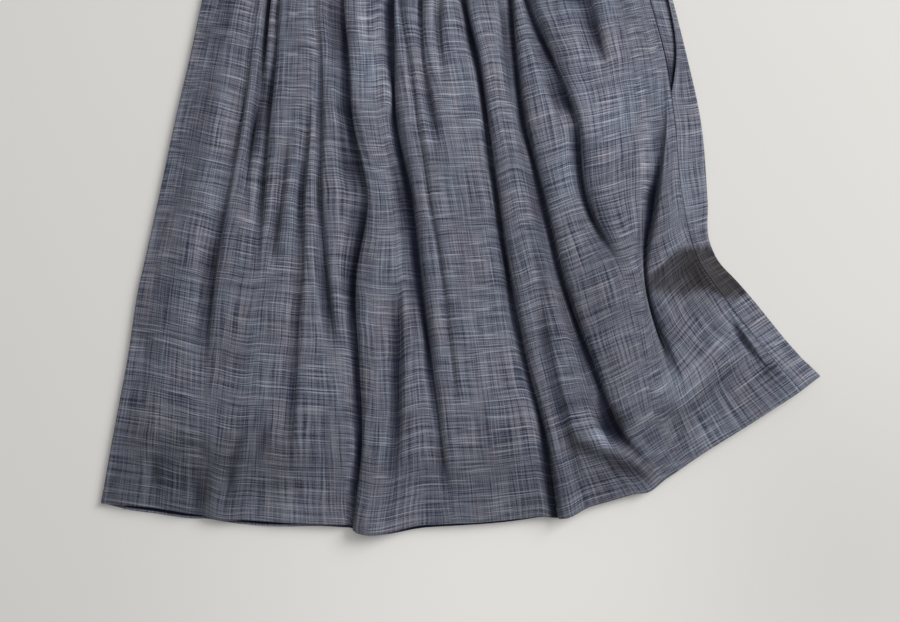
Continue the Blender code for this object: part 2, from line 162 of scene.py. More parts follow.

# wide hollows on the left of a crease, under the crest on its right, each with a sharp right side
# and painted shade in it:
# drop, half length, width, depth
valleys = {
    "leftTwin": [(318, 66, 15, 0.55), (400, 60, 8, 0.3)],
    "leftLong": [(500, 100, 14, 0.3)],
    "leftShort": [(445, 40, 9, 0.35)],
    "leftMid": [(420, 50, 8, 0.35), (560, 120, 12, 0.25)],
    "innerLeft": [(510, 70, 13, 0.48)],
    "stripLeft": [
        (240, 90, 22, 0.52), (320, 50, 15, 0.5), (385, 46, 27, 0.62), (440, 42, 22, 0.5),
        (500, 60, 16, 0.45),
    ],
    "stripRight": [(420, 82, 19, 0.66), (510, 70, 18, 0.45)],
    "stripLow": [(600, 110, 9, 0.42)],
    "centreB": [(222, 34, 5, 0.35), (325, 50, 10, 0.3)],
    "centreC": [(250, 60, 8, 0.35)],
    "longA": [(245, 30, 14, 0.25), (470, 150, 16, 0.25)],
    "longB": [
        (262, 72, 18, 0.46), (296, 34, 15, 0.3), (420, 80, 20, 0.42), (540, 90, 16, 0.4),
        (643, 24, 23, 1.0),
    ],
    "longC": [(275, 36, 20, 0.5), (312, 34, 24, 0.68), (360, 44, 12, 0.4), (450, 50, 22, 0.16)],
    "rightA": [(215, 26, 24, 0.38), (250, 44, 18, 0.62)],
    "sideDeep": [(360, 66, 19, 0.3), (455, 34, 16, 0.3)],
    "flareShort": [(556, 26, 8, 0.45)],
}

# broad swells and hollows: across, drop, half width, half length, turn in degrees, rise
swells = [
    (-84, 752, 30, 70, 0, 8.0), (104, 728, 24, 80, 14, 9.0), (26, 300, 16, 150, 10, 3.0),
    (232, 492, 50, 24, 62, -5.0), (205, 612, 20, 52, 68, 3.5), (140, 650, 16, 30, 60, 3.0),
    (-300, 690, 14, 46, -8, -2.5), (-258, 712, 13, 40, -4, -2.5),
]

# ridges of the back between two creases: left crease, right crease, rise, end, half width
backRidges = [
    ("leftLong", "leftDeep", 3.5, 520, 9), ("leftTwin", "leftShort", 3.0, 400, 8),
    ("leftMid", "innerLeft", 3.0, 620, 8), ("stripLeft", "stripLow", 4.0, 745, 10),
    ("stripRight", "centreA", 3.0, 560, 7), ("centreB", "centreC", 3.0, 480, 8),
    ("longA", "lowInner", 4.0, 745, 10), ("longB", "longC", 3.5, 640, 9),
    ("longC", "rightA", 4.0, 600, 12), ("rightB", "sideDeep", 3.0, 520, 9),
]


# cubic curve through the values of a table, run straight on past its ends
def readTable(stations, values, at):
    stations, values = np.asarray(stations, float), np.asarray(values, float)
    slopes = np.gradient(values, stations)
    inside = np.clip(at, stations[0], stations[-1])
    i = np.clip(np.searchsorted(stations, inside, side="right") - 1, 0, len(stations) - 2)
    run = stations[i + 1] - stations[i]
    t = (inside - stations[i]) / run
    start = values[i] * (1 + 2 * t) * (1 - t) ** 2 + slopes[i] * run * t * (1 - t) ** 2
    end = values[i + 1] * t * t * (3 - 2 * t) + slopes[i + 1] * run * t * t * (t - 1)
    return start + end + np.where(at < stations[0], slopes[0], slopes[-1]) * (at - inside)


# the same for one column of a table whose rows start with their stations
def readRows(rows, column, at):
    return readTable([row[0] for row in rows], [row[column] for row in rows], at)


# smooth step from 0 to 1
def ease(t):
    t = np.clip(t, 0.0, 1.0)
    return t * t * (3 - 2 * t)


# one round hump, 1 in the middle and 0 at a distance of 1
def hump(t):
    return np.cos(math.pi / 2 * np.clip(t, -1, 1)) ** 2


def leftFold(drop):
    return readRows(outlineRows, 1, drop)


def rightFold(drop):
    return readRows(outlineRows, 2, drop)


def sideSeam(drop):
    return readRows(outlineRows, 3, drop)


def crownAt(drop):
    return skirt["crestLift"] * readRows(crownRows, 1, drop)


# drop of the hem: the table's curve with a hump added at each scallop
def hemDrop(across, scallops=1.0):
    drop = readRows(hemRows, 1, across)
    for centre, leftWidth, rightWidth, extra in hemScallops:
        halfWidth = np.where(across < centre, leftWidth, rightWidth)
        drop = drop + scallops * extra * hump((across - centre) / halfWidth)
    return drop


creaseLine = {row[0]: place + 1 for place, row in enumerate(creases)}
lastLine = len(creases) + 1


# across of line 0, the left fold, of each crease, and of the last line, the side seam.
# Above its table a crease runs to an even place along the waist seam.
def lineAcross(line, drop):
    if line <= 0:
        return leftFold(drop)
    if line >= lastLine:
        return sideSeam(drop)
    left, right = outlineRows[0][1], outlineRows[0][3]
    atWaist = left + (right - left) * line / lastLine
    path = creases[line - 1][1]
    return readTable([0, 110] + pathDrops, (atWaist, (atWaist + path[0]) / 2) + path, drop)


def creaseAcross(name, drop):
    return lineAcross(creaseLine[name], drop)


# how far a crease is there at a drop: 0 before it starts and after it ends
def creaseFadeAt(place, drop):
    start, end = creases[place][3:5]
    fade = 1.0 if start == 0 else ease((drop - start) / creaseForm["fade"])
    return fade * ease((end - drop) / creaseForm["fade"])


# distance from a crease to the next one on a side, or the one beyond where that has faded
def roomBeside(place, side, here, drop):
    near = np.abs(lineAcross(place + 1 + side, drop) - here)
    beyond = place + side
    if not 0 <= beyond < len(creases):
        return near
    far = np.abs(lineAcross(place + 1 + 2 * side, drop) - here)
    there = creaseFadeAt(beyond, drop)
    return near * there + far * (1 - there)


# Every crease and valley at the points given. A crease is a raised cosine, gentle on the left and
# steep on the right, with a broad one around it. The pinch draws its right shoulder over it, the
# left one less, and the lean moves both. The shade is the light that its bottom keeps.
def creaseShape(across, drop):
    form = creaseForm
    keep, shift, shade = np.ones_like(across), np.zeros_like(across), np.ones_like(across)
    for place, (name, _, depth, _, _, leftFoot, rightFoot, pinch, lean) in enumerate(creases):
        here = lineAcross(place + 1, drop)
        offset = across - here
        onLeft = offset < 0
        wave = 0.6 * np.sin(drop / 31 + 2.1 * place) + 0.4 * np.sin(drop / 12.7 + 1.3 * place)
        depth = depth * (1 - form["unevenDepth"] * (1 + wave))
        leftFoot = leftFoot * (1 + form["unevenWidth"] * wave)
        rightFoot = rightFoot * (1 - 0.5 * form["unevenWidth"] * wave)
        for atDrop, halfLength, deeper, wideLeft, wideRight in creasePlaces.get(name, []):
            bell = hump((drop - atDrop) / halfLength)
            depth = depth + deeper * bell
            leftFoot = leftFoot + wideLeft * bell
            rightFoot = rightFoot + wideRight * bell
        depth = np.clip(depth, 0.0, 1.0)
        room = np.where(onLeft, roomBeside(place, -1, here, drop), roomBeside(place, 1, here, drop))
        foot = np.minimum(np.where(onLeft, leftFoot, rightFoot), form["widestFoot"] * room)
        foot = foot.clip(form["leastFoot"])
        wide = np.minimum(form["broadWidth"] * foot, form["widestBroad"] * room)
        fade = creaseFadeAt(place, drop)
        near = np.abs(offset) / foot
        sharp = 1 - (1 - hump(near)) ** np.where(onLeft, form["leftPower"], form["rightPower"])
        cut = (1 - form["broad"]) * sharp + form["broad"] * hump(offset / wide)
        keep = keep * (1 - depth * fade * cut)
        shoulder = np.sin(math.pi * np.clip(near / form["shoulder"], 0, 1)) ** 2
        shift = shift + fade * foot * shoulder * (lean + np.where(onLeft, 0.2 * pinch, -pinch))
        # painted shade of the crease's dark core, soft on the left and crisp on the right
        core = ease((offset + 0.85 * foot) / (0.5 * foot)) * ease((1.8 - offset) / 2.2)
        shade = shade * (1 - fade * depth ** 1.5 * core)
    for name, rows in valleys.items():
        offset = across - creaseAcross(name, drop)
        for atDrop, halfLength, width, depth in rows:  # soft on the left, steep on the right
            level = ease((offset + width) / (0.4 * width)) * ease((2.0 - offset) / 3.0)
            here = depth * hump((drop - atDrop) / halfLength) * level
            keep = keep * (1 - here)
            shade = shade * (1 - 0.9 * here)
    return keep, shift, shade


# sum of long oval mounds, each a bell whose long axis is turned from straight down to the right
def mounds(table, across, drop):
    rise = np.zeros_like(across)
    for centre, atDrop, halfWidth, halfLength, turn, height in table:
        c, s = math.cos(math.radians(turn)), math.sin(math.radians(turn))
        u = ((across - centre) * c - (drop - atDrop) * s) / halfWidth
        w = ((across - centre) * s + (drop - atDrop) * c) / halfLength
        rise = rise + height * np.exp(-1.6 * (u * u + w * w))
    return rise


# share of the crown that is left near a folded side: 0 at the fold, 1 on the panel
def sideShare(across, drop):
    fromLeft = ease((across - leftFold(drop) - skirt["edgeRadius"]) / skirt["shoulderLeft"])
    fromRight = ease((rightFold(drop) - skirt["edgeRadius"] - across) / skirt["shoulderRight"])
    return fromLeft * fromRight


# height of the upper layer: crown and swells, cut by the creases and lowered at the sides
def topHeight(across, drop, keep):
    crown = np.clip(crownAt(drop) + mounds(swells, across, drop), edgeRise, None)
    rise = edgeRise + (crown - edgeRise) * sideShare(across, drop)
    return skirt["creaseFloor"] + rise * keep


# drop at which each column meets the hem, found by halving steps
def columnLengths(acrossAt, count, hem):
    hemAt = np.full(count, 700.0)
    for step in range(40):
        hemAt = 0.5 * hemAt + 0.5 * hem(acrossAt(hemAt))
    return hemAt


# rows of the hem's turn: up from its edge, sink below the outer layer
hemTurn = [
    (13.0, 1.35), (9.0, 1.4), (6.0, 1.4), (4.4, 1.4), (2.6, 1.35), (1.5, 1.3), (0.5, 1.05),
    (0.0, 0.65), (0.2, 0.25),
]
hiddenRows = 5  # rows of the turn that lie inside


# drop and height change of each row and column, and the distance of each row along the cut
def hemToWaist(hemAt, rows):
    up = np.array([row[0] for row in hemTurn])[:, None]
    sink = np.array([row[1] for row in hemTurn])[:, None]
    share = np.linspace(0.0, 1.0, rows)[:, None]
    foldDrop = hemAt[None, :] - up
    panelDrop = (hemAt[None, :] - skirt["hemEdge"]) * (1 - share)
    drop = np.concatenate([foldDrop, panelDrop])
    sinks = np.concatenate([np.broadcast_to(sink, foldDrop.shape), np.zeros_like(panelDrop)])
    along = np.concatenate([-up[:, 0], skirt["hemEdge"] + share[:, 0] * skirt["cutLength"]])
    return drop, sinks, along


# distance of each point along the cut: the turned rows, then the run up each column, stretched
# so that all columns are as long as the cut
def cutAlong(across, drop, along):
    first = len(hemTurn)
    step = np.hypot(np.diff(across[first:], axis=0), np.diff(drop[first:], axis=0))
    run = np.concatenate([np.zeros((1, across.shape[1])), np.cumsum(step, axis=0)])
    turned = np.broadcast_to(along[:first, None], (first, across.shape[1]))
    return np.concatenate([turned, skirt["hemEdge"] + run / run[-1] * skirt["cutLength"]])


# narrow gathers whose spacing drifts along the cut
def gatherWave(place):
    return np.sin(place / 1.45 + 1.3 * np.sin(place / 9.0))


# soft ridges: bells at seeded places, long down the skirt and narrow across
def softRidges(panel, place, drop):
    dice = np.random.default_rng(panel["seed"])
    start, end = panel["softMargins"]
    soft = np.zeros_like(drop)
    for n in range(panel["softRidges"]):
        middle, atDrop = dice.uniform(start, place[0, -1] - end), dice.uniform(0, 720)
        width, length = dice.uniform(3.5, 9.0), dice.uniform(*panel["softLength"])
        drift, rise = dice.uniform(-0.06, 0.06), dice.normal(0, panel["softRise"])
        u = (place - middle - drift * (drop - atDrop)) / width
        rise = 2 * abs(rise) if panel["onlyRaised"] else rise
        soft += rise * np.exp(-u * u - ((drop - atDrop) / length) ** 2)
    return soft


def addObject(name, data):
    made = bpy.data.objects.new(name, data)
    bpy.context.scene.collection.objects.link(made)
    return made


# A mesh of quads over a grid of points. ring joins the last column to the first. The cloth's
# thickness goes inwards.
def gridPiece(name, points, uv, extras, material, thickness, ring=False):
    rows, columns = points.shape[:2]
    index = np.arange(rows * columns).reshape(rows, columns)
    right = np.roll(index, -1, axis=1) if ring else index[:, 1:]
    left = index if ring else index[:, :-1]
    quads = np.stack([left[:-1], right[:-1], right[1:], left[1:]], axis=-1).reshape(-1, 4)
    mesh = bpy.data.meshes.new(name)
    mesh.from_pydata((points.reshape(-1, 3) * mm).tolist(), [], quads.tolist())
    weave = mesh.uv_layers.new(name="weave")
    flat = (uv.reshape(-1, 2) * mm)[quads.ravel()]
    if ring:  # the last quads run on past the first column instead of back across the cloth
        around = uv[0, -1, 0] + uv[0, 1, 0] - uv[0, 0, 0]
        flat.reshape(rows - 1, columns, 4, 2)[:, -1, 1:3, 0] += around * mm
    weave.data.foreach_set("uv", flat.astype(np.float32).ravel())
    for label, values in extras.items():
        layer = mesh.attributes.new(label, "FLOAT", "POINT")
        values = np.broadcast_to(values, (rows, columns)).astype(np.float32)
        layer.data.foreach_set("value", values.ravel())
    mesh.shade_smooth()
    mesh.materials.append(material)
    mesh.update()
    piece = addObject(name, mesh)
    wall = piece.modifiers.new("Cloth", "SOLIDIFY")
    wall.thickness, wall.offset = thickness * mm, -1.0
    return piece


# points of a laid layer
def laid(across, drop, height):
    return np.stack([across, skirt["waistY"] - drop, height], axis=-1)


# cloth distance of each column: length along the rows, averaged over them
def acrossCut(points):
    step = np.linalg.norm(np.diff(points, axis=1), axis=2).mean(axis=0)
    return np.concatenate([[0.0], np.cumsum(step)])[None, :]


# numbers, colours and other nodes' outputs put into a node's inputs
def plug(tree, node, inputs):
    for socket, value in inputs.items():
        target = node.inputs[socket]
        if isinstance(value, (int, float)):
            target.default_value = value
        elif isinstance(value, tuple):
            opaque = len(value) < len(target.default_value)
            target.default_value = (*value, 1.0) if opaque else value
        else:
            tree.links.new(value, target)


def addNode(tree, kind, inputs, **settings):
    made = tree.nodes.new(kind)
    for label, value in settings.items():
        setattr(made, label, value)
    plug(tree, made, inputs)
    return made


def sums(tree, operation, *values, clamp=False):
    made = addNode(tree, "ShaderNodeMath", dict(enumerate(values)), operation=operation,
                   use_clamp=clamp)
    return made.outputs[0]


def between(tree, value, low, high, toLow=0.0, toHigh=1.0):
    ends = dict(enumerate((value, low, high, toLow, toHigh)))
    return addNode(tree, "ShaderNodeMapRange", ends, interpolation_type="SMOOTHSTEP").outputs[0]


def blendColours(tree, share, first, second, kind="MIX"):
    made = addNode(tree, "ShaderNodeMix", {0: share, 6: first, 7: second}, data_type="RGBA",
                   blend_type=kind)
    return made.outputs[2]


def newMaterial(name):
    material = bpy.data.materials.new(name)
    material.use_nodes = True
    return material, material.node_tree, material.node_tree.nodes["Principled BSDF"]


# noise stretched over the cloth: cells of acrossSize by alongSize millimetres
def yarnNoise(tree, across, along, acrossSize, alongSize, seed, detail=1.0):
    place = addNode(tree, "ShaderNodeCombineXYZ", {
        0: sums(tree, "MULTIPLY", across, 1000.0 / acrossSize),
        1: sums(tree, "MULTIPLY", along, 1000.0 / alongSize),
        2: seed,
    })
    cells = {"Vector": place.outputs[0], "Scale": 1.0, "Detail": detail, "Roughness": 0.6}
    return addNode(tree, "ShaderNodeTexNoise", cells, noise_dimensions="3D").outputs[0]


chambray = {
    "darkYarn": (0.026, 0.032, 0.062),
    "paleYarn": (0.345, 0.360, 0.415),
    "warm": (1.04, 0.99, 0.97),
    "cool": (0.97, 1.005, 1.025),
    "brownAndShadeColour": (0.275, 0.243, 0.218),
    "paintedCreaseShade": (0.030, 0.042, 0.12),  # painted shade in the creases and hollows, as a share of the colour
    "tone": 0.345,
    "slubs": 0.42,
    "darkThreads": 0.16,
    "roughness": 0.86,
    "roughSpread": 0.06,
    "sheen": 0.08,
    "bump": 0.35,
}

# noises of the weave: cell across the cloth, cell along it, seed, detail
yarns = {
    "warpFine": (1.15, 60, 3.0, 1.0),
    "weftFine": (50, 1.2, 4.0, 1.0),
    "warpBand": (6.5, 190, 5.0, 1.0),
    "weftBand": (150, 5.5, 6.0, 1.0),
    "crossing": (1.1, 1.1, 9.0, 0.0),
    "slub": (34, 1.5, 7.0, 0.0),
    "thread": (1.5, 75, 8.0, 0.0),
    "tint": (26, 60, 10.0, 2.0),
}

# how strongly a noise moves the mix of pale and dark yarn
contrasts = {"warpFine": 1.12, "weftFine": 1.32, "warpBand": 0.18, "weftBand": 0.18,
             "crossing": 0.30}


# Chambray: pale and dark yarns mixed by noises that are long along the warp or along the weft,
# with bright slubs in the weft, dark threads in the warp and slow changes of tint, multiplied by
# the painted shade, the brown tint with painted shade, and the painted light and tone of each piece
def makeChambray(name, tone=0.0):
    material, tree, shader = newMaterial(name)
    uv = addNode(tree, "ShaderNodeUVMap", {}, uv_map="weave")
    parts = addNode(tree, "ShaderNodeSeparateXYZ", {0: uv.outputs[0]})
    u, v = parts.outputs[0], parts.outputs[1]
    wanderU = sums(tree, "MULTIPLY_ADD", yarnNoise(tree, u, v, 60, 45, 1.0), 0.003, -0.0015)
    wanderV = sums(tree, "MULTIPLY_ADD", yarnNoise(tree, u, v, 40, 70, 2.0), 0.004, -0.002)
    u, v = sums(tree, "ADD", u, wanderU), sums(tree, "ADD", v, wanderV)
    noise = {label: yarnNoise(tree, u, v, *row) for label, row in yarns.items()}

    mixed = chambray["tone"] + tone
    for label, contrast in contrasts.items():
        mixed = sums(tree, "MULTIPLY_ADD", noise[label], contrast, mixed)
    mixed = sums(tree, "SUBTRACT", mixed, sum(contrasts.values()) / 2)
    slubs = sums(tree, "MULTIPLY", between(tree, noise["slub"], 0.60, 0.74), chambray["slubs"])
    threads = between(tree, noise["thread"], 0.36, 0.24)
    threads = sums(tree, "MULTIPLY", threads, chambray["darkThreads"])
    mixed = sums(tree, "SUBTRACT", sums(tree, "ADD", mixed, slubs), threads, clamp=True)
    colour = blendColours(tree, mixed, chambray["darkYarn"], chambray["paleYarn"])

    shares = {label: addNode(tree, "ShaderNodeAttribute", {}, attribute_name=label).outputs["Fac"]
              for label in ("crest", "brownAndShade", "paintedLightAndTone")}
    tint = between(tree, noise["tint"], 0.34, 0.66)
    tint = blendColours(tree, tint, chambray["cool"], chambray["warm"])
    # painted shade from the pieces' attribute, darkest in the creases
    paintedShadeFactor = blendColours(tree, shares["crest"], chambray["paintedCreaseShade"], (1.0, 1.0, 1.0))
    # brown tint with painted shade
    brownAndShadeFactor = blendColours(tree, shares["brownAndShade"], (1.0, 1.0, 1.0), chambray["brownAndShadeColour"])
    # the painted light and tone makes the cloth paler or darker
    for factor in (tint, paintedShadeFactor, brownAndShadeFactor, shares["paintedLightAndTone"]):
        colour = blendColours(tree, 1.0, colour, factor, "MULTIPLY")

    relief = sums(tree, "ADD", noise["warpFine"], noise["weftFine"])
    relief = sums(tree, "ADD", relief, noise["crossing"])
    bump = addNode(tree, "ShaderNodeBump", {"Height": relief, "Strength": chambray["bump"],
                                            "Distance": 0.4 * mm})
    low, high = (chambray["roughness"] + k * chambray["roughSpread"] for k in (-1, 1))
    plug(tree, shader, {
        "Base Color": colour,
        "Normal": bump.outputs[0],
        "Roughness": between(tree, mixed, 0.0, 1.0, high, low),
        "Specular IOR Level": 0.25,
        "Sheen Weight": chambray["sheen"],
        "Sheen Roughness": 0.5,
    })
    return material


shellCloth = makeChambray("slubChambray")
pocketCloth = makeChambray("pocketChambray", tone=-0.02)
print("chambray made")


# Front panel: crests and creases down its length, gathers at the waist, small uneven wrinkles
frontPanel = {
    "rows": 154,
    "columnStep": 3.2,
    "columnDrops": (415.0, 575.0, 690.0),  # where the space between two creases is measured
    "fewestColumns": 7,  # between two creases
    "mostColumns": 26,
    "gatherHeight": 0.9,
    "seed": 11,
    "softRidges": 150,
    "softRise": 0.55,
    "softMargins": (20, 10),
    "softLength": (35, 150),
    "onlyRaised": False,
    "hemStep": 0.5,  # the turned hem stands this much higher
    "hemStepUp": 14.5,  # up to this distance from its edge
    "weftLift": 3.5,  # the weft stands higher on a crest than in a crease
    "weftTilt": 0.085,  # and it runs down to the right beside the left fold
    "weftTiltReach": 110,
    "weftTurn": 0.5,  # added slope of the weft below the dark fold
    "weftTurnReach": 60,
    "weftRise": 0.25,  # slope of the weft beside the pocket
}

# across, drop, half width, half length, turn in degrees, rise
wrinkles = [
    (-224, 676, 6, 32, -14, -2.2), (-235, 676, 7, 26, -14, 1.4), (-194, 650, 6, 16, -14, -1.8),
    (-260, 710, 7, 22, 0, -1.6), (-303, 682, 5, 18, 0, -1.8), (-338, 685, 5, 24, -6, -1.4),
    (152, 678, 8, 46, 66, -3.6), (136, 657, 9, 22, 74, 3.2), (190, 668, 8, 30, 62, 1.6),
    (120, 655, 6, 30, 30, 1.4), (228, 616, 9, 56, 128, -1.8), (262, 560, 6, 40, 48, -1.2),
    (214, 592, 10, 44, 128, 1.6), (266, 588, 6, 18, -20, -1.6), (300, 590, 8, 34, 40, -1.0),
    (205, 560, 7, 26, 30, 1.4), (244, 522, 6, 26, 48, 1.6), (268, 512, 6, 22, 46, -1.6),
    (214, 512, 8, 20, 70, -1.6), (130, 305, 7, 16, 30, -2.4), (118, 318, 8, 20, 18, 1.6),
    (150, 290, 6, 30, -20, 1.0), (166, 378, 5, 26, -30, -0.9), (180, 395, 5, 22, -24, 0.8),
    (-198, 445, 7, 22, 20, 1.4), (-186, 470, 6, 20, 26, -1.2), (-128, 292, 5, 22, -6, -1.6),
    (-116, 352, 6, 24, -12, -1.2), (-50, 310, 5, 30, -8, -1.2), (-30, 338, 5, 30, -10, 1.0),
    (-8, 275, 5, 30, -8, 1.0), (-70, 430, 7, 40, -4, 1.0), (10, 470, 9, 60, -8, 1.2),
    (62, 610, 8, 44, -12, 1.2), (20, 640, 9, 50, -6, -1.0), (-150, 620, 8, 50, 2, 1.0),
    (-190, 560, 8, 44, 6, -0.9), (-285, 560, 9, 60, 8, -0.9), (-300, 470, 8, 50, 9, 0.8),
    (76, 486, 6, 60, 9, -1.8),
]

# places with a brown tint and painted shade: across, drop, half width, half length, turn, amount
brownAndShadePlaces = [
    (230, 474, 26, 14, 20, 0.3), (262, 502, 26, 15, 50, 0.45), (164, 684, 11, 28, 80, 0.55),
    (228, 618, 16, 62, 128, 0.34), (296, 600, 20, 60, 128, 0.16), (-265, 658, 12, 34, 85, 0.3),
    (-190, 700, 13, 24, 85, 0.26),
]

# places where the cloth is painted paler or darker, with painted highlights and shade on small
# bumps and troughs and broad paler and darker areas: across, drop, half width, half length, turn,
# amount
paintedLightAndTonePlaces = [
    (-290, 690, 110, 90, 0, -0.24), (-260, 690, 125, 80, 0, -0.22), (-240, 540, 90, 90, 0, -0.2),
    (-180, 680, 90, 60, 0, -0.14), (-303, 682, 5, 18, 0, -0.26), (-338, 685, 6, 24, -6, -0.2),
    (-168, 640, 5, 46, 2, -0.2), (-90, 240, 24, 110, 0, 0.46), (-15, 270, 60, 90, 0, 0.18),
    (-25, 340, 40, 60, 0, 0.08), (150, 310, 70, 120, 0, 0.32), (60, 700, 200, 70, 0, -0.32),
    (154, 676, 9, 42, 66, -0.3), (122, 660, 7, 24, 50, -0.36), (139, 652, 8, 14, 50, 0.8),
    (160, 634, 12, 20, 40, -0.6), (130, 540, 60, 110, 0, -0.22), (206, 600, 14, 50, 128, 0.14),
    (266, 588, 8, 20, -20, -0.2), (230, 490, 50, 26, 20, -0.16),
]

# painted navy shade in the hollows of small wrinkles, in the same form
paintedNavyShade = [
    (-228, 690, 6, 22, -4, 0.68), (-221, 662, 5, 18, -22, 0.44), (-260, 710, 8, 24, 0, 0.5),
    (-194, 652, 7, 18, -10, 0.6), (-206, 640, 6, 18, -30, 0.34), (-301, 690, 6, 24, 0, 0.24),
    (82, 488, 7, 52, 10, 0.42), (94, 612, 6, 42, 12, 0.42), (-65, 590, 7, 60, 2, 0.3),
    (-111, 360, 8, 34, 8, 0.26), (142, 430, 7, 30, 24, 0.34),
]


# upper edge of the dark fold at the right
def foldTop(across):
    return readTable([184, 200, 216, 240], [493, 478, 464, 461], across)


# painted shade with a brown tint over the dark fold: sharp along its top, soft at its other sides
def brownAndShadeOfFold(across, drop):
    bottom = readTable([185, 205, 222, 245, 268, 290], [509, 513, 515, 510, 519, 513], across)
    there = ease((drop - foldTop(across)) / 4) * ease((bottom - drop) / 11)
    return there * ease((across - 183) / 8) * (0.78 + 0.30 * ease((across - 214) / 40))


# from that edge down, the weft turns up to the right of the side crease, less so near the hem
def weftTurnAt(across, drop):
    away = np.clip(across - creaseAcross("sideDeep", drop), 0, None)
    there = ease((drop - foldTop(across)) / 5) * ease((hemDrop(across, 0.0) - drop - 10) / 130)
    reach = frontPanel["weftTurnReach"]
    return frontPanel["weftTurn"] * reach * np.tanh(away / reach) * there


# how much brown tint and painted shade the cloth has at each point
def brownAndShadeAt(across, drop):
    return np.clip(mounds(brownAndShadePlaces, across, drop) + brownAndShadeOfFold(across, drop), 0, 1)


# line to the left of each column of the front, and its share of the way to the next line
def frontColumns():
    lines, shares = [], []
    for line in range(lastLine):
        widest = max(lineAcross(line + 1, drop) - lineAcross(line, drop)
                     for drop in frontPanel["columnDrops"])
        count = int(np.clip(round(float(widest) / frontPanel["columnStep"]),
                            frontPanel["fewestColumns"], frontPanel["mostColumns"]))
        t = np.arange(count) / count
        lines.append(np.full(count, line))
        shares.append(t - 0.6 * np.sin(2 * math.pi * t) / (2 * math.pi))
    return np.concatenate(lines), np.concatenate(shares)


# The weave's coordinates on the front. Right of column first, the last long crease, the creases
# come close together and part again, so the warp is spread evenly over each row there, and down
# to the dark fold the weft runs on from that crease.
def frontWeave(place, first, flatAcross, across, drop, height, along, keep):
    warp, weft = np.repeat(place, len(across), axis=0), cutAlong(flatAcross, drop, along)
    run = np.cumsum(np.hypot(np.diff(across[:, first:]), np.diff(height[:, first:])), axis=1)
    warp[:, first + 1:] = place[0, first] + run / run[:, -1:] * (place[0, -1] - place[0, first])
    besideDrop = drop[:, first + 1:]
    startDrop = drop[::-1, first]
    away = flatAcross[:, first + 1:] - np.interp(besideDrop, startDrop, flatAcross[::-1, first])
    level = np.interp(besideDrop, startDrop, weft[::-1, first]) - frontPanel["weftRise"] * away
    weft[:, first + 1:] += ease((460 - besideDrop) / 150) * (level - weft[:, first + 1:])
    reach = frontPanel["weftTiltReach"]
    weft = weft - frontPanel["weftLift"] * keep
    weft = weft + frontPanel["weftTilt"] * reach * np.tanh((across - leftFold(drop)) / reach)
    return np.stack([warp, weft - weftTurnAt(across, drop)], axis=-1)


